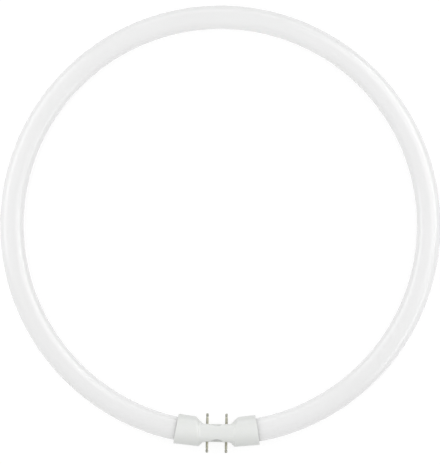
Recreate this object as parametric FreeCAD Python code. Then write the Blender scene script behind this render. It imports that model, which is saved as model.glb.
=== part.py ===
import FreeCAD, Part
import math
import os

Vector = FreeCAD.Vector
X_AXIS = Vector(1, 0, 0)
Y_AXIS = Vector(0, 1, 0)
Z_AXIS = Vector(0, 0, 1)

# A ring-shaped fluorescent lamp, lying flat. Millimetres and degrees.
# The ring turns about +Z. Its cap sits at the -Y side and bridges the gap in the glass.
# While a piece is modelled, the ring's centre is the origin and z = 0 is its middle plane.

# Glass ring
ring_outer_diameter = 300.0
tube_diameter = 16.0
glass_wall = 0.9

# Closed ends of the glass: a short straight run and a rounded rim, turned inwards into
# a stem. The stem is a cup, pinched shut at its bottom, with the pumping tube in its middle.
end_run = 6.0
end_rim_radius = 2.5
stem_cup_diameter = 6.8
stem_cup_depth = 10.0
stem_wall = 0.9
stem_rim_radius = 0.9
stem_pinch_length = 5.0
cup_bottom_radius = 0.7
pump_tube_diameter = 3.0
pump_tube_reach = 3.6
# Share of its own radius by which a melted tip of glass is rounded
tip_rounding = 0.85

# Cap: two collars that hold the tube ends, joined by a narrow neck.
# A collar is a straight, slightly tapered bar that leans with the tube. Its mouth leans more,
# and its inner end is cut back to a cone round the neck, which makes its sloping shoulder.
cap_half_angle = 11.25
mouth_lean = 9.6
collar_lean = 7.0
shoulder_angle = 5.24
shoulder_slope = 46.0
mouth_wall = 1.9
collar_taper = 0.35
shoulder_rounding = 1.6
neck_rounding = 2.0
mouth_rounding = 0.4
neck_side_step = 3.9
neck_front_step = 1.65
neck_flat_width = 5.4
cap_wall = 1.6

# Shallow scoops in the neck, front and rear, that leave a straight web between them
scoop_radius = 6.6
scoop_depth = 1.6
scoop_web = 3.6
scoop_wall = 1.4

# Inside of the cap
cement_gap = 0.4
cement_length = 7.0
cement_inset = 1.2
tube_end_gap = 0.5
lip_thickness = 1.2
wire_bore_diameter = 10.0
seam_gap = 0.1

# Posts that join the two halves of the cap
post_spacing = 4.8
post_diameter = 3.2
peg_diameter = 1.6
peg_length = 2.4
peg_clearance = 0.05

# Contact pins: tubes with a flange inside the cap, a thicker root in its wall and a crimped tip
pin_pitch = 13.0
pin_span = 26.8
pin_diameter = 1.75
pin_root_diameter = 2.2
pin_bore_diameter = 0.9
pin_room = 6.6
pin_flange_diameter = 3.2
pin_flange_thickness = 0.8
pin_flange_inset = 0.3
pin_clearance = 0.04
crimp_length = 2.4
crimp_taper = 0.6
crimp_waist_diameter = 1.4
crimp_bulb_diameter = 1.85
crimp_bulb_length = 1.5
crimp_blend_radius = 0.3
crimp_tip_radius = 0.65
boss_width = 4.4

# Lead wires
wire_diameter = 0.5
wire_offset = 2.45
wire_straight = 3.0
wire_lane = 0.9
wire_lane_length = 2.25
wire_bend_radius = 0.8
wire_tip_inset = 0.15

# How far shapes that cut reach past what they cut, in degrees round the ring
overrun = 1.0

# Worked out from the sizes above
tube_radius = tube_diameter / 2
ring_radius = ring_outer_diameter / 2 - tube_radius
bore_radius = tube_radius + cement_gap
mouth_diameter = 2 * (bore_radius + mouth_wall)
shoulder_diameter = mouth_diameter - 2 * collar_taper
neck_width = shoulder_diameter - 2 * neck_side_step
neck_depth = shoulder_diameter - 2 * neck_front_step
neck_half_width = neck_width / 2
neck_half_depth = neck_depth / 2
neck_edge_radius = neck_half_width - neck_flat_width / 2
cavity_width = neck_width - 2 * cap_wall
cavity_depth = neck_depth - 2 * cap_wall
cavity_edge_radius = neck_edge_radius - cap_wall
stem_radius = stem_cup_diameter / 2 + stem_wall
lip_angle = shoulder_angle + math.degrees(lip_thickness / 2 / ring_radius)
bore_stop_angle = lip_angle + math.degrees(lip_thickness / 2 / ring_radius)
tube_end_angle = bore_stop_angle + math.degrees(tube_end_gap / ring_radius)
tube_bend_angle = tube_end_angle + math.degrees(end_run / ring_radius)
pin_reach = pin_span / 2
pin_x = pin_pitch / 2
cavity_length = pin_pitch + boss_width
nose_radius = cavity_width / 2


def rounded_path(corners, radii):
    """Edges along the corners, with a tangent arc of the given radius at each inner corner."""
    edges = []
    start = corners[0]
    for before, corner, after, radius in zip(corners, corners[1:], corners[2:], radii):
        back = (before - corner).normalize()
        ahead = (after - corner).normalize()
        half_angle = back.getAngle(ahead) / 2
        if radius == 0:
            edges.append(Part.LineSegment(start, corner).toShape())
            start = corner
            continue
        setback = radius / math.tan(half_angle)
        arc_start = corner + back * setback
        arc_end = corner + ahead * setback
        bisector = (back + ahead).normalize()
        arc_middle = corner + bisector * (radius / math.sin(half_angle) - radius)
        if start.distanceToPoint(arc_start) > 1e-6:
            edges.append(Part.LineSegment(start, arc_start).toShape())
        edges.append(Part.Arc(arc_start, arc_middle, arc_end).toShape())
        start = arc_end
    edges.append(Part.LineSegment(start, corners[-1]).toShape())
    return edges


def turned(points, radii, axis=X_AXIS):
    """Solid turned about an axis through the origin.

    The points are (along, radius). The first and the last lie on the axis.
    """
    outward = Y_AXIS if axis == X_AXIS else X_AXIS
    corners = [axis * along + outward * radius for along, radius in points]
    edges = rounded_path(corners, radii)
    edges.append(Part.LineSegment(corners[-1], corners[0]).toShape())
    face = Part.Face(Part.Wire(edges))
    return face.revolve(Vector(0, 0, 0), axis, 360)


def ring_point(angle, radius=ring_radius):
    """Point on a circle about the ring's centre, at an angle from the cap's middle towards +X."""
    turn = math.radians(angle)
    return Vector(radius * math.sin(turn), -radius * math.cos(turn), 0)


def along_ring(angle):
    """Unit vector along the tube at an angle, pointing away from the cap's middle."""
    turn = math.radians(angle)
    return Vector(math.cos(turn), math.sin(turn), 0)


def ring_circle(angle, radius):
    """Circle round the tube's centre line, as a wire."""
    circle = Part.makeCircle(radius, ring_point(angle), along_ring(angle))
    return Part.Wire([circle])


def ring_bar(radius, start_angle, end_angle):
    """Round bar bent along the ring, from one angle to another."""
    face = Part.Face(ring_circle(start_angle, radius))
    return face.revolve(Vector(0, 0, 0), Z_AXIS, end_angle - start_angle)


def at_tube_end(shape):
    """Moves a solid turned about +X, so that +X points out of the glass at the right-hand end."""
    moved = shape.copy()
    moved.rotate(Vector(0, 0, 0), Z_AXIS, 180 + tube_bend_angle)
    moved.translate(ring_point(tube_bend_angle))
    return moved


def other_side(shape):
    """The same piece on the other side of the cap."""
    turned_over = shape.copy()
    turned_over.rotate(Vector(0, 0, 0), Y_AXIS, 180)
    return turned_over


def both_sides(shape):
    return [shape, other_side(shape)]


def glass_end_outer():
    """Outside of one closed end, before the stem's cup is sunk in it."""
    points = [
        (0, 0),
        (0, tube_radius),
        (end_run, tube_radius),
        (end_run, 0),
    ]
    return turned(points, [0, end_rim_radius])


def glass_end_inner():
    """Hollow of one closed end."""
    inner_radius = tube_radius - glass_wall
    inner_end = end_run - glass_wall
    points = [
        (0, 0),
        (0, inner_radius),
        (inner_end, inner_radius),
        (inner_end, 0),
    ]
    return turned(points, [0, end_rim_radius - glass_wall])


def glass_stem():
    """Stem that stands inwards from the end wall, as a solid bar that flares at the wall."""
    wall_middle = end_run - glass_wall / 2
    inner_end = end_run - glass_wall
    tip = end_run - stem_cup_depth - stem_pinch_length
    flare = stem_radius + stem_rim_radius
    points = [
        (wall_middle, 0),
        (wall_middle, flare),
        (inner_end, flare),
        (inner_end, stem_radius),
        (tip, stem_radius),
        (tip, 0),
    ]
    return turned(points, [0, 0, stem_rim_radius * tip_rounding, stem_radius * tip_rounding])


def stem_cup():
    """Ring-shaped hollow of the stem, round the pumping tube, open at the end of the glass."""
    cup_radius = stem_cup_diameter / 2
    bottom = end_run - stem_cup_depth
    points = [
        (bottom, 0),
        (bottom, cup_radius),
        (end_run, cup_radius),
        (end_run, 0),
    ]
    return turned(points, [cup_bottom_radius, 0]).cut(pump_tube())


def pump_tube():
    """Stub of the tube through which the glass was pumped out, sealed at its tip."""
    pump_radius = pump_tube_diameter / 2
    bottom = end_run - stem_cup_depth
    tip = end_run + pump_tube_reach
    points = [
        (bottom, 0),
        (bottom, pump_radius),
        (tip, pump_radius),
        (tip, 0),
    ]
    return turned(points, [0, pump_radius * tip_rounding])


def make_glass_tube():
    """Glass ring with true walls, closed at both ends."""
    around = 360 - tube_bend_angle
    outer = ring_bar(tube_radius, tube_bend_angle, around)
    hollow = ring_bar(tube_radius - glass_wall, tube_bend_angle, around)
    outer = outer.fuse(both_sides(at_tube_end(glass_end_outer()))).removeSplitter()
    hollow = hollow.fuse(both_sides(at_tube_end(glass_end_inner())))
    hollow = hollow.cut(both_sides(at_tube_end(glass_stem()))).removeSplitter()
    glass = outer.cut([hollow] + both_sides(at_tube_end(stem_cup())))
    return glass.fuse(both_sides(at_tube_end(pump_tube()))).removeSplitter()


def glass_envelope_end():
    """Outside of the glass near the right-hand end, to fit the cement to."""
    bar = ring_bar(tube_radius, tube_bend_angle, cap_half_angle + overrun)
    return bar.fuse(at_tube_end(glass_end_outer()))


def shoulder_cone():
    """Cone round the neck's line that cuts back the right-hand collar's inner end."""
    slope = math.tan(math.radians(shoulder_slope))
    shoulder_x = ring_point(shoulder_angle).x
    nose_x = shoulder_x - (shoulder_diameter / 2 - nose_radius) / slope
    end_x = ring_point(cap_half_angle + overrun, ring_radius + mouth_diameter / 2).x
    end_radius = nose_radius + (end_x - nose_x) * slope
    cone = turned([(nose_x, 0), (nose_x, nose_radius), (end_x, end_radius), (end_x, 0)], [0, 0])
    cone.translate(ring_point(0))
    return cone


def make_collar():
    """Right-hand collar and its sloping shoulder, solid."""
    centre = ring_point(cap_half_angle)
    axis = along_ring(collar_lean)
    to_shoulder = (centre.x - ring_point(shoulder_angle).x) / axis.x
    to_middle = centre.x / axis.x
    root_radius = mouth_diameter / 2 - collar_taper * to_middle / to_shoulder
    mouth = Part.Wire([Part.makeCircle(mouth_diameter / 2, centre, along_ring(mouth_lean))])
    root = Part.Wire([Part.makeCircle(root_radius, centre - axis * to_middle, axis)])
    bar = Part.makeLoft([mouth, root], True, True)
    cone = shoulder_cone()
    shoulder = bar.section(cone)
    collar = bar.common(cone)
    shoulder_edges = [edge for edge in collar.Edges if runs_along(edge, shoulder)]
    collar = collar.makeFillet(shoulder_rounding, shoulder_edges)
    mouth_edges = [edge for edge in collar.Edges if runs_along(edge, mouth)]
    return collar.makeFillet(mouth_rounding, mouth_edges)


def runs_along(edge, line):
    """Whether an edge lies on a line that is made of other edges."""
    span = edge.LastParameter - edge.FirstParameter
    places = [edge.valueAt(edge.FirstParameter + span * share) for share in (0.2, 0.5, 0.8)]
    return all(Part.Vertex(place).distToShape(line)[0] < 1e-4 for place in places)


def block(length, width, depth, edge_radius):
    """Block along X round the neck's middle, with its four long edges rounded."""
    corner = Vector(-length / 2, -ring_radius - width / 2, -depth / 2)
    box = Part.makeBox(length, width, depth, corner)
    long_edges = [edge for edge in box.Edges if abs(edge.tangentAt(edge.FirstParameter).x) > 0.99]
    return box.makeFillet(edge_radius, long_edges)


def scoop_cutters(radius):
    """Upright cylinders beside the neck, on its inner and outer sides."""
    offset = neck_half_width + scoop_radius - scoop_depth
    cutters = []
    for side in (-1, 1):
        foot = Vector(0, -ring_radius + side * offset, -neck_depth)
        cutters.append(Part.makeCylinder(radius, neck_depth * 2, foot))
    return cutters


def slab(thickness):
    """Flat slab about the middle plane, wider than the cap."""
    size = ring_radius
    return Part.makeBox(size, size, thickness, Vector(-size / 2, -size * 1.5, -thickness / 2))


def make_cap_body():
    """Both collars and the neck as one hollow body, before it is split into halves."""
    neck_reach = ring_point(shoulder_angle, ring_radius + neck_half_width).x
    body = block(2 * neck_reach, neck_width, neck_depth, neck_edge_radius)
    for collar in both_sides(make_collar()):
        joint = body.section(collar)
        body = body.fuse(collar)
        joint_edges = [edge for edge in body.Edges if runs_along(edge, joint)]
        body = body.makeFillet(neck_rounding, joint_edges)
    scoops = [cutter.cut(slab(scoop_web)) for cutter in scoop_cutters(scoop_radius)]
    body = body.cut(scoops)
    bore = ring_bar(bore_radius, bore_stop_angle, cap_half_angle + overrun)
    wire_bore = ring_bar(wire_bore_diameter / 2, 0, bore_stop_angle + overrun)
    cavity = block(cavity_length, cavity_width, cavity_depth, cavity_edge_radius)
    hollow = cavity.cut(scoop_cutters(scoop_radius + scoop_wall))
    neck_zone = block(cavity_length, neck_width, neck_depth, neck_edge_radius)
    wire_bores = [tube.cut(neck_zone) for tube in both_sides(wire_bore)]
    return body.cut([hollow] + both_sides(bore) + wire_bores)


def pin_back(clearance=0.0):
    """Points of a pin's inner end, flange and root, measured from the neck's middle."""
    root = pin_root_diameter / 2 + clearance
    flange = pin_flange_diameter / 2 + clearance
    inner_end = pin_room / 2
    flange_start = inner_end + pin_flange_inset
    flange_end = flange_start + pin_flange_thickness
    return [
        (inner_end - clearance, 0),
        (inner_end - clearance, root),
        (flange_start - clearance, root),
        (flange_start - clearance, flange),
        (flange_end + clearance, flange),
        (flange_end + clearance, root),
        (neck_half_width + clearance, root),
    ]


def pin_seat():
    """Room that a pin takes up in the cap, turned about +Y."""
    points = pin_back(pin_clearance)
    points.append((points[-1][0], 0))
    return turned(points, [0] * 6, Y_AXIS)


def make_pin():
    """Tubular pin with a crimped tip, turned about +Y from its inner end to its tip."""
    shaft = pin_diameter / 2
    bulb = crimp_bulb_diameter / 2
    waist = crimp_waist_diameter / 2
    waist_at = pin_reach - crimp_length
    bulb_at = pin_reach - crimp_bulb_length
    tip = [
        (neck_half_width, shaft),
        (waist_at - crimp_taper, shaft),
        (waist_at, waist),
        (bulb_at, bulb),
        (pin_reach, bulb),
        (pin_reach, 0),
    ]
    radii = [0] * 7 + [crimp_blend_radius] * 3 + [crimp_tip_radius]
    outside = turned(pin_back() + tip, radii, Y_AXIS)
    wire_radius = wire_diameter / 2
    bore_radius_at_back = pin_bore_diameter / 2
    bore = [
        (0, 0),
        (0, bore_radius_at_back),
        (waist_at - crimp_taper, bore_radius_at_back),
        (waist_at, wire_radius),
        (pin_span, wire_radius),
        (pin_span, 0),
    ]
    return outside.cut(turned(bore, [0] * 4, Y_AXIS))


def to_neck(shape, side, direction):
    """Moves a piece turned about +Y to a pin's place. Side is -1 or 1 in X, direction in Y."""
    moved = shape.copy()
    if direction < 0:
        moved.rotate(Vector(0, 0, 0), Z_AXIS, 180)
    moved.translate(Vector(side * pin_x, -ring_radius, 0))
    return moved


def pin_bosses():
    """Ribs behind the neck's walls, in which the pins are seated."""
    neck = block(cavity_length, neck_width, neck_depth, neck_edge_radius)
    thickness = neck_half_width - pin_room / 2
    bosses = []
    for side in (-1, 1):
        for direction in (-1, 1):
            near = pin_room / 2 if direction > 0 else -neck_half_width
            corner = Vector(side * pin_x - boss_width / 2, -ring_radius + near, -neck_half_depth)
            bosses.append(Part.makeBox(boss_width, thickness, neck_depth, corner).common(neck))
    return bosses


def half_space(side, clearance=0.0):
    """Large box above or below the middle plane."""
    size = ring_radius
    low = clearance if side > 0 else -size - clearance
    return Part.makeBox(size, size, size, Vector(-size / 2, -size * 1.5, low))


def posts(radius, low, high):
    """Two round posts on the neck's middle line, between two heights."""
    columns = []
    for side in (-1, 1):
        foot = Vector(side * post_spacing / 2, -ring_radius, low)
        columns.append(Part.makeCylinder(radius, high - low, foot))
    return columns


def make_shells():
    """Front and rear halves of the cap. The front half carries the pegs."""
    roof = neck_half_depth - cap_wall / 2
    body = make_cap_body().fuse(pin_bosses())
    seats = [to_neck(pin_seat(), side, direction) for side in (-1, 1) for direction in (-1, 1)]
    body = body.cut(seats)
    front = body.common(half_space(1, seam_gap / 2))
    rear = body.common(half_space(-1, seam_gap / 2))
    post_radius = post_diameter / 2
    peg_radius = peg_diameter / 2
    front = front.fuse(posts(post_radius, 0, roof) + posts(peg_radius, -peg_length, roof))
    rear = rear.fuse(posts(post_radius, -roof, 0))
    rear = rear.cut(posts(peg_radius + peg_clearance, -peg_length - peg_clearance, roof))
    return front.removeSplitter(), rear.removeSplitter()


def make_cement():
    """Ring of cement between the right-hand tube end and its collar."""
    inset = math.degrees(cement_inset / ring_radius)
    length = math.degrees(cement_length / ring_radius)
    outer_angle = cap_half_angle - inset
    ring = ring_bar(bore_radius, outer_angle - length, outer_angle)
    return ring.cut(glass_envelope_end())


def make_lead(direction):
    """Wire from the right-hand tube end into a pin. Direction is 1 for the inner pin, -1 for the outer."""
    outwards = ring_point(tube_bend_angle).normalize() * -direction
    towards_cap = along_ring(tube_bend_angle) * -1
    stem_bottom = end_run - stem_cup_depth
    start = ring_point(tube_bend_angle) + towards_cap * stem_bottom + outwards * wire_offset
    middle = -ring_radius + direction * wire_lane
    corners = [
        start,
        start + towards_cap * (stem_cup_depth + wire_straight),
        Vector(pin_x + wire_lane_length, middle, 0),
        Vector(pin_x, middle, 0),
        Vector(pin_x, -ring_radius + direction * (pin_reach - wire_tip_inset), 0),
    ]
    path = Part.Wire(rounded_path(corners, [wire_bend_radius] * 3))
    section = Part.Wire([Part.makeCircle(wire_diameter / 2, start, towards_cap)])
    return path.makePipeShell([section], True, False)


def make_parts():
    front, rear = make_shells()
    parts = {
        "glass_tube": make_glass_tube(),
        "front_shell": front,
        "rear_shell": rear,
    }
    cement = make_cement()
    parts["cement_right"] = cement
    parts["cement_left"] = other_side(cement)
    pin = make_pin()
    for direction, name in ((1, "inner"), (-1, "outer")):
        lead = make_lead(direction)
        parts["lead_%s_right" % name] = lead
        parts["lead_%s_left" % name] = other_side(lead)
        parts["pin_%s_right" % name] = to_neck(pin, 1, direction)
        parts["pin_%s_left" % name] = to_neck(pin, -1, direction)
    return parts


# The origin is the middle of the lamp's footprint, on the surface it lies on
ring_centre = Vector(0, (ring_radius + pin_reach - ring_outer_diameter / 2) / 2, mouth_diameter / 2)

os.makedirs("parts", exist_ok=True)
for node, shape in make_parts().items():
    shape.translate(ring_centre)
    shape.exportStep("parts/%s.step" % node)
    print(node, len(shape.Solids), shape.isValid(), round(shape.Volume, 1))
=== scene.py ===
import math

import bmesh
import bpy
from mathutils import Matrix, Vector


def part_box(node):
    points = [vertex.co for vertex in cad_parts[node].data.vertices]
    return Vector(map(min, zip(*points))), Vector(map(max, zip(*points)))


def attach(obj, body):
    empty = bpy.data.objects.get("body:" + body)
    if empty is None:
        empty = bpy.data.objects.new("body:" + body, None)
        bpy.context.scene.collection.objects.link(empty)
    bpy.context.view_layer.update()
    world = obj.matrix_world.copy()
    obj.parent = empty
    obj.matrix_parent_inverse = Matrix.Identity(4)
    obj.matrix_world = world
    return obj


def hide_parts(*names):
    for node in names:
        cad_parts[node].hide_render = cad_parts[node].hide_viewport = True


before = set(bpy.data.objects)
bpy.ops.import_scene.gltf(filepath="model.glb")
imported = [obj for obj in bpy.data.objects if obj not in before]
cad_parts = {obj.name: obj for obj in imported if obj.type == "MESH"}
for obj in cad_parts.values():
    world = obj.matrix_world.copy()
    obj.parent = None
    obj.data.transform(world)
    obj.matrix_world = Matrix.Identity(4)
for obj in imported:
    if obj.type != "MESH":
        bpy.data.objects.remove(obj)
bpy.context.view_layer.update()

# A white ring lamp lying on a white table, seen from almost straight above. Metres.
MM = 0.001
UP = Vector((0, 0, 1))


def rgb(red, green, blue):
    return (red, green, blue, 1.0)


def grey(level):
    return rgb(level, level, level)


# Glass tube, outside skin. Its ends are hidden in the cap. Each turns inwards over a rounded rim
# into a cup, and the sealed stub of the pumping tube stands in the cup's middle. ROUND_PAIRS
# holds neighbouring places round the tube.
TUBE_RADIUS = 8.0 * MM
BEND_START = math.radians(8.347)
END_RUN = 6.0 * MM
END_RUN_FIRST = 0.25 * END_RUN
RIM_RADIUS = 2.5 * MM
RIM_STEPS = 8
CUP_RADIUS = 3.4 * MM
CUP_DEPTH = 10.0 * MM
PUMP_RADIUS = 1.5 * MM
PUMP_REACH = 3.6 * MM
PUMP_TIP_STEPS = 6
PUMP_TIP_TURN = math.radians(84)
RING_STEPS = 720
ROUND_STEPS = 96
ROUND_PAIRS = [(index, (index + 1) % ROUND_STEPS) for index in range(ROUND_STEPS)]
SMOOTH_BELOW = math.radians(40)

# Powder coat behind the glass: the two tones it drifts between, its grain, the painted shade that
# darkens it in its corners, such as beside the cap, and how deep light goes into it
POWDER = (rgb(0.856, 0.856, 0.854), rgb(0.873, 0.874, 0.874))
POWDER_GRAIN = grey(0.84)
POWDER_GRAIN_SHARE = 0.2
POWDER_PAINTED_SHADE = grey(0.70)
POWDER_SHADE_REACH = 7 * MM
POWDER_DEPTH = 4 * MM

# Cap: its two tones, how deep light goes into it, how round its edges look, and where painted
# shade darkens it towards its outer and inner edges and in its corners. The places that end in
# TO, FROM and FULL are distances from the cap's outer edge towards the ring's centre, and the
# strengths of the outer and inner edge shade and of the inner corner shade are shares.
PLASTIC = (rgb(0.813, 0.828, 0.808), rgb(0.838, 0.849, 0.833))
PLASTIC_EDGE_SHADE = rgb(0.72, 0.735, 0.715)
PLASTIC_CORNER_SHADE = rgb(0.55, 0.55, 0.54)
PLASTIC_CORNER_SHADE_REACH = 3 * MM
PLASTIC_DEPTH = 1.2 * MM
PLASTIC_EDGE_RADIUS = 0.25 * MM
OUTER_EDGE_SHADE = 0.9
OUTER_EDGE_SHADE_TO = 9 * MM
INNER_EDGE_SHADE = 0.6
INNER_EDGE_SHADE_FROM = 12 * MM
INNER_EDGE_SHADE_FULL = 20 * MM
INNER_CORNER_SHADE = 0.35
OUTER_CORNER_SHADE_TO = 5 * MM
INNER_CORNER_SHADE_FROM = 13 * MM

# Pins: the two tones of the brass and of the crimped tips, and how far back from a tip's end
# its tone starts and is full
BRASS = (rgb(0.293, 0.286, 0.225), rgb(0.38, 0.377, 0.31))
TINNED = (rgb(0.26, 0.255, 0.215), rgb(0.33, 0.33, 0.29))
TINNED_FROM = 2.6 * MM
TINNED_FULL = 1.9 * MM

WIRE = (rgb(0.50, 0.50, 0.48), rgb(0.62, 0.62, 0.60))
CEMENT = (rgb(0.74, 0.74, 0.72), rgb(0.84, 0.84, 0.82))

# Share of the surroundings that is still open in the deepest corners
DEEPEST_CORNER = 0.3

# Picture
IMAGE_WIDTH = 440
IMAGE_HEIGHT = 464
RING_CENTRE_PX = (220.35, 224.95)
RING_RADIUS_PX = 220.1
CAMERA_ROLL = math.radians(1.0)
CAMERA_TILT = math.radians(3.6)
CAMERA_LENS = 680.0
CAMERA_SENSOR = 36.0
CAMERA_REACH = 50

# Light. A lamp is (name, azimuth, elevation, distance, width, height, power, what it is for).
# Lamps for the surface give no highlight, and lamps for the gloss give nothing but highlights.
SURFACE = (True, False)
GLOSS = (False, True)
LAMPS = (
    ("softbox_right", 0, 42, 0.55, 0.4, 0.4, 0.31, SURFACE),
    ("softbox_left", 180, 42, 0.55, 0.4, 0.4, 0.34, SURFACE),
    ("softbox_far", 90, 42, 0.55, 0.4, 0.4, 0.11, SURFACE),
    ("strip_right", 27, 16, 1.1, 1.2, 0.47, 6.0, GLOSS),
    ("strip_left", 158, 16, 1.1, 1.2, 0.47, 4.8, GLOSS),
    ("strip_near", 335, 16, 1.1, 0.6, 0.47, 2.0, GLOSS),
    ("strip_far", 90, 16, 1.1, 1.2, 0.47, 2.2, GLOSS),
    ("panel_right", 27, 44, 1.1, 1.2, 0.64, 4.8, GLOSS),
    ("panel_left", 158, 44, 1.1, 1.2, 0.64, 0.8, GLOSS),
)
# The surroundings are white to look at, and this bright for the rays that light the lamp.
WORLD_AMBIENT = 0.825

# Floor. As it is seen, it glows and adds a share of the light that falls on it, so that shadows
# show; the share is a little smaller along its fibres. For the rays that light the lamp it is
# plain paper that throws back FLOOR_BOUNCE.
FLOOR_SIZE = 12.0
FLOOR_CELLS = 8
FLOOR_GLOW = 0.82
FLOOR_SHADE = 0.24
FLOOR_FIBRE = 0.97
FLOOR_BOUNCE = 0.74

tube_low, tube_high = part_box("glass_tube")
ring_outer = (tube_high.x - tube_low.x) / 2
ring_middle = ring_outer - TUBE_RADIUS
ring_centre = Vector((0, tube_high.y - ring_outer, (tube_low.z + tube_high.z) / 2))


class Shader:
    """A node tree that is built one node at a time."""

    # Places of the colour sockets of a mix node
    MIX_FACTOR = 0
    MIX_FIRST = 6
    MIX_SECOND = 7
    MIX_COLOUR = 2

    def __init__(self, name, world=False):
        if world:
            self.owner = bpy.data.worlds.new(name)
        else:
            self.owner = bpy.data.materials.new(name)
        self.owner.use_nodes = True
        self.tree = self.owner.node_tree
        self.tree.nodes.clear()
        output = "ShaderNodeOutputWorld" if world else "ShaderNodeOutputMaterial"
        self.output = self.tree.nodes.new(output)

    def node(self, kind, settings=None, **inputs):
        """A node with its inputs fed by name; an underscore stands for a space."""
        made = self.tree.nodes.new("ShaderNode" + kind)
        for key, value in (settings or {}).items():
            setattr(made, key, value)
        for key, value in inputs.items():
            self.feed(made, key.replace("_", " "), value)
        return made

    def in_order(self, kind, settings, *values):
        """First output of a node with its inputs fed from the first one on."""
        made = self.node(kind, settings)
        for index, value in enumerate(values):
            self.feed(made, index, value)
        return made.outputs[0]

    def feed(self, node, socket, value):
        """Sets an input, or links it where the value comes from another node."""
        if isinstance(socket, str):
            wanted = socket.lower()
            target = next(item for item in node.inputs
                          if item.name.lower() == wanted and item.enabled)
        else:
            target = node.inputs[socket]
        if isinstance(value, bpy.types.NodeSocket):
            self.tree.links.new(value, target)
        else:
            target.default_value = value

    def math(self, operation, *values):
        return self.in_order("Math", {"operation": operation}, *values)

    def ramp(self, value, low, high, from_low=0.0, from_high=1.0):
        """Goes from low at from_low to high at from_high, and stays level beyond them."""
        made = self.node("MapRange", {"clamp": True}, Value=value, From_Min=from_low,
                         From_Max=from_high, To_Min=low, To_Max=high)
        return made.outputs[0]

    def mix(self, factor, first, second):
        made = self.node("Mix", {"data_type": "RGBA"})
        self.feed(made, self.MIX_FACTOR, factor)
        self.feed(made, self.MIX_FIRST, first)
        self.feed(made, self.MIX_SECOND, second)
        return made.outputs[self.MIX_COLOUR]

    def place(self):
        return self.node("TexCoord").outputs["Object"]

    def along_y(self):
        """Distance along Y, which grows from the cap towards the ring's centre."""
        return self.node("SeparateXYZ", Vector=self.place()).outputs[1]

    def noise(self, scale, detail):
        return self.node("TexNoise", Vector=self.place(), Scale=scale, Detail=detail).outputs[0]

    def patches(self, scale, detail, margin):
        """Noise with more contrast: 0 below the margin, and 1 above 1 minus the margin."""
        return self.ramp(self.noise(scale, detail), 0, 1, margin, 1 - margin)

    def corners(self, reach, open_from):
        """1 deep in a corner, 0 where at least a given share of the surroundings is open."""
        made = self.node("AmbientOcclusion", {"samples": 8}, Distance=reach)
        return self.ramp(made.outputs["AO"], 1.0, 0.0, DEEPEST_CORNER, open_from)

    def surface(self, **inputs):
        """Ends the material with one surface."""
        return self.end(self.node("BsdfPrincipled", **inputs).outputs[0])

    def end(self, shader):
        self.tree.links.new(shader, self.output.inputs[0])
        return self.owner


def seen_directly(shader):
    """1 for camera, glossy and transmission rays, and 0 for the rays that light the lamp."""
    path = shader.node("LightPath")
    seen = shader.math("MAXIMUM", path.outputs["Is Camera Ray"], path.outputs["Is Glossy Ray"])
    return shader.math("MAXIMUM", seen, path.outputs["Is Transmission Ray"])


def coated_glass():
    """White powder under clear, slightly wavy glass."""
    shader = Shader("coated_glass")
    drift = shader.patches(scale=9, detail=2, margin=0.3)
    grain = shader.patches(scale=900, detail=2, margin=0.3)
    share = shader.math("MULTIPLY", grain, POWDER_GRAIN_SHARE)
    clean = shader.mix(share, shader.mix(drift, *POWDER), POWDER_GRAIN)
    # Painted shade: the powder's colour darkens where its surroundings are closed in, as beside
    # the cap.
    painted_shade = shader.corners(POWDER_SHADE_REACH, open_from=0.95)
    waves = shader.node("Bump", Strength=0.08, Distance=0.4 * MM, Height=shader.noise(55, 1))
    return shader.surface(
        Base_Color=shader.mix(painted_shade, clean, POWDER_PAINTED_SHADE), Roughness=0.6,
        Specular_IOR_Level=0.0, Subsurface_Weight=0.9, Subsurface_Radius=(1.0, 1.0, 1.0),
        Subsurface_Scale=POWDER_DEPTH, Coat_Weight=1.0, Coat_IOR=1.5, Coat_Roughness=0.22,
        Coat_Normal=waves.outputs[0])


def cap_plastic():
    """Satin white moulding, with painted shade towards its outer and inner edges and in its
    corners.
    """
    shader = Shader("cap_plastic")
    clean = shader.mix(shader.patches(scale=60, detail=2, margin=0.3), *PLASTIC)
    along = shader.along_y()
    outer_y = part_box("front_shell")[0].y
    # Painted shade: the colour darkens towards the cap's outer edge and, less, towards its inner
    # edge.
    edge_shade = shader.math(
        "ADD",
        shader.ramp(along, OUTER_EDGE_SHADE, 0.0, outer_y, outer_y + OUTER_EDGE_SHADE_TO),
        shader.ramp(along, 0.0, INNER_EDGE_SHADE, outer_y + INNER_EDGE_SHADE_FROM,
                    outer_y + INNER_EDGE_SHADE_FULL))
    edge_shaded = shader.mix(edge_shade, clean, PLASTIC_EDGE_SHADE)
    # Painted shade in the cap's corners and recesses, such as the scoops between the pins; it is
    # full on the outer side and weaker on the inner side.
    side = shader.ramp(along, 1.0, INNER_CORNER_SHADE, outer_y + OUTER_CORNER_SHADE_TO, outer_y + INNER_CORNER_SHADE_FROM)
    painted_shade = shader.math("MULTIPLY", shader.corners(PLASTIC_CORNER_SHADE_REACH, open_from=0.8), side)
    rounded = shader.node("Bevel", {"samples": 6}, Radius=PLASTIC_EDGE_RADIUS)
    grain = shader.node("Bump", Strength=0.25, Distance=0.05 * MM, Height=shader.noise(2600, 3),
                        Normal=rounded.outputs[0])
    return shader.surface(
        Base_Color=shader.mix(painted_shade, edge_shaded, PLASTIC_CORNER_SHADE),
        Roughness=shader.ramp(shader.noise(300, 3), low=0.34, high=0.44),
        Normal=grain.outputs[0], Specular_IOR_Level=0.45, Subsurface_Weight=0.15,
        Subsurface_Radius=(1.0, 1.0, 0.9), Subsurface_Scale=PLASTIC_DEPTH)


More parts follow.
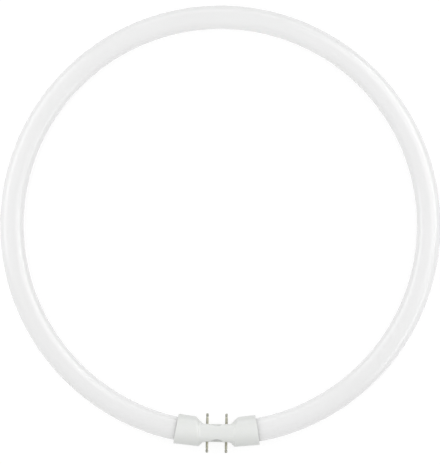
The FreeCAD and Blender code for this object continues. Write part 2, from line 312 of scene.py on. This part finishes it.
def pin_metal():
    """Dull brass, greyer towards the crimped tips."""
    shader = Shader("pin_metal")
    neck_y = (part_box("pin_inner_right")[0].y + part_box("pin_outer_right")[1].y) / 2
    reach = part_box("pin_inner_right")[1].y - neck_y
    off = shader.math("ABSOLUTE", shader.math("SUBTRACT", shader.along_y(), neck_y))
    tip = shader.ramp(off, 0, 1, reach - TINNED_FROM, reach - TINNED_FULL)
    tarnish = shader.patches(scale=700, detail=4, margin=0.35)
    colour = shader.mix(tip, shader.mix(tarnish, *BRASS), shader.mix(tarnish, *TINNED))
    rough = shader.ramp(tarnish, low=0.32, high=0.48)
    return shader.surface(Base_Color=colour, Roughness=rough, Metallic=1.0)


def lead_metal():
    shader = Shader("lead_metal")
    colour = shader.mix(shader.noise(400, 3), *WIRE)
    return shader.surface(Base_Color=colour, Roughness=0.35, Metallic=1.0)


def cement_paste():
    shader = Shader("cement")
    mottle = shader.noise(500, 4)
    pits = shader.node("Bump", Strength=0.4, Distance=0.1 * MM, Height=mottle)
    return shader.surface(Base_Color=shader.mix(mottle, *CEMENT), Roughness=0.8,
                          Normal=pits.outputs[0])


def floor_paper():
    """White paper that looks white and still takes the lamp's shadow."""
    shader = Shader("floor")
    fibre = shader.ramp(shader.noise(40, 2), low=FLOOR_FIBRE, high=1.0)
    lit = shader.node("BsdfDiffuse", Color=grey(FLOOR_BOUNCE))
    shade = shader.node("BsdfDiffuse", Color=shader.mix(fibre, grey(0), grey(FLOOR_SHADE)))
    glow = shader.node("Emission", Strength=FLOOR_GLOW)
    paper = shader.in_order("AddShader", None, shade.outputs[0], glow.outputs[0])
    seen = seen_directly(shader)
    return shader.end(shader.in_order("MixShader", None, seen, lit.outputs[0], paper))


def linked(made):
    """Puts a new object into the scene."""
    bpy.context.collection.objects.link(made)
    return made


def object_from(mesh, name):
    data = bpy.data.meshes.new(name)
    mesh.to_mesh(data)
    mesh.free()
    return linked(bpy.data.objects.new(name, data))


def end_profile():
    """Skin of one glass end, as pairs of distance past the bend and radius.

    It runs from the ring to the tip of the pumping stub, and the tip's distance comes with it.
    """
    points = [(END_RUN_FIRST, TUBE_RADIUS)]
    for step in range(RIM_STEPS + 1):
        turn = math.radians(90) * step / RIM_STEPS
        points.append((END_RUN - RIM_RADIUS * (1 - math.sin(turn)),
                       TUBE_RADIUS - RIM_RADIUS * (1 - math.cos(turn))))
    bottom = END_RUN - CUP_DEPTH
    points += [(END_RUN, CUP_RADIUS), (bottom, CUP_RADIUS), (bottom, PUMP_RADIUS)]
    tip = END_RUN + PUMP_REACH
    for step in range(PUMP_TIP_STEPS + 1):
        turn = PUMP_TIP_TURN * step / PUMP_TIP_STEPS
        points.append((tip - PUMP_RADIUS * (1 - math.sin(turn)), PUMP_RADIUS * math.cos(turn)))
    return points, tip


def ring_frame(angle):
    """Place on the tube's centre line and direction along it; the angle starts at the cap."""
    place = ring_centre + Vector((math.sin(angle), -math.cos(angle), 0)) * ring_middle
    along = Vector((math.cos(angle), math.sin(angle), 0))
    return place, along


def circle_of(mesh, place, along, radius):
    """Vertices round the centre line."""
    outward = along.cross(UP).normalized()
    made = []
    for step in range(ROUND_STEPS):
        turn = math.tau * step / ROUND_STEPS
        made.append(mesh.verts.new(place + outward * (radius * math.cos(turn))
                                   + UP * (radius * math.sin(turn))))
    return made


def glass_skin():
    """The tube's skin, from the tip of one pumping stub round the ring to the other tip."""
    mesh = bmesh.new()
    profile, tip = end_profile()
    start_place, start_along = ring_frame(BEND_START)
    end_place, end_along = ring_frame(math.tau - BEND_START)
    first_tip = mesh.verts.new(start_place - start_along * tip)
    circles = [circle_of(mesh, start_place - start_along * distance, start_along, radius)
               for distance, radius in reversed(profile)]
    for step in range(RING_STEPS + 1):
        angle = BEND_START + (math.tau - 2 * BEND_START) * step / RING_STEPS
        place, along = ring_frame(angle)
        circles.append(circle_of(mesh, place, along, TUBE_RADIUS))
    circles += [circle_of(mesh, end_place + end_along * distance, end_along, radius)
                for distance, radius in profile]
    last_tip = mesh.verts.new(end_place + end_along * tip)
    for first, second in zip(circles, circles[1:]):
        for index, following in ROUND_PAIRS:
            mesh.faces.new((first[index], second[index], second[following], first[following]))
    for index, following in ROUND_PAIRS:
        mesh.faces.new((first_tip, circles[0][index], circles[0][following]))
        mesh.faces.new((last_tip, circles[-1][following], circles[-1][index]))
    bmesh.ops.recalc_face_normals(mesh, faces=mesh.faces)
    for face in mesh.faces:
        face.smooth = True
    for edge in mesh.edges:
        edge.smooth = edge.calc_face_angle(0) < SMOOTH_BELOW
    return object_from(mesh, "ring_glass")


def dress(node, material):
    """Gives a carried-over node its material."""
    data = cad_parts[node].data
    data.materials.clear()
    data.materials.append(material)


def make_light(name, azimuth, elevation, distance, width, height, power, purpose):
    """Area light at a distance from the ring's centre, facing it."""
    azimuth = math.radians(azimuth)
    elevation = math.radians(elevation)
    flat = Vector((math.cos(azimuth), math.sin(azimuth), 0)) * math.cos(elevation)
    place = ring_centre + (flat + UP * math.sin(elevation)) * distance
    data = bpy.data.lights.new(name, "AREA")
    data.shape = "RECTANGLE"
    data.size = width
    data.size_y = height
    data.energy = power
    light = bpy.data.objects.new(name, data)
    light.location = place
    light.rotation_mode = "QUATERNION"
    light.rotation_quaternion = (ring_centre - place).to_track_quat("-Z", "Y")
    light.visible_diffuse, light.visible_glossy = purpose
    light.visible_camera = False
    linked(light)


def make_world():
    shader = Shader("studio", world=True)
    strength = shader.ramp(seen_directly(shader), low=WORLD_AMBIENT, high=1.0)
    sky = shader.node("Background", Color=grey(1), Strength=strength)
    bpy.context.scene.world = shader.end(sky.outputs[0])


def make_floor():
    mesh = bmesh.new()
    bmesh.ops.create_grid(mesh, x_segments=FLOOR_CELLS, y_segments=FLOOR_CELLS,
                          size=FLOOR_SIZE / 2)
    floor = object_from(mesh, "floor")
    floor.data.materials.append(floor_paper())


def make_camera():
    """Camera above, leaning a little towards the cap.

    It is placed so that the ring lies where the picture has it.
    """
    data = bpy.data.cameras.new("camera")
    data.lens = CAMERA_LENS
    data.sensor_width = CAMERA_SENSOR
    data.clip_end = CAMERA_REACH
    metres_per_pixel = ring_outer / RING_RADIUS_PX
    distance = CAMERA_LENS / CAMERA_SENSOR * IMAGE_HEIGHT * metres_per_pixel
    turn = Matrix.Rotation(CAMERA_TILT, 3, "X") @ Matrix.Rotation(CAMERA_ROLL, 3, "Z")
    aside = Vector((IMAGE_WIDTH / 2 - RING_CENTRE_PX[0], RING_CENTRE_PX[1] - IMAGE_HEIGHT / 2, 0))
    camera = bpy.data.objects.new("camera", data)
    camera.location = ring_centre + turn @ (aside * metres_per_pixel + UP * distance)
    camera.rotation_euler = turn.to_euler()
    bpy.context.scene.camera = linked(camera)


make_camera()
make_world()
for lamp in LAMPS:
    make_light(*lamp)
make_floor()

glass = glass_skin()
glass.data.materials.append(coated_glass())
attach(glass, "root")
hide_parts("glass_tube")

plastic = cap_plastic()
brass = pin_metal()
wire = lead_metal()
cement = cement_paste()
for shell in ("front_shell", "rear_shell"):
    dress(shell, plastic)
for side in ("left", "right"):
    dress("cement_" + side, cement)
    for row in ("inner", "outer"):
        dress("pin_%s_%s" % (row, side), brass)
        dress("lead_%s_%s" % (row, side), wire)

bpy.context.scene.view_settings.view_transform = "Standard"
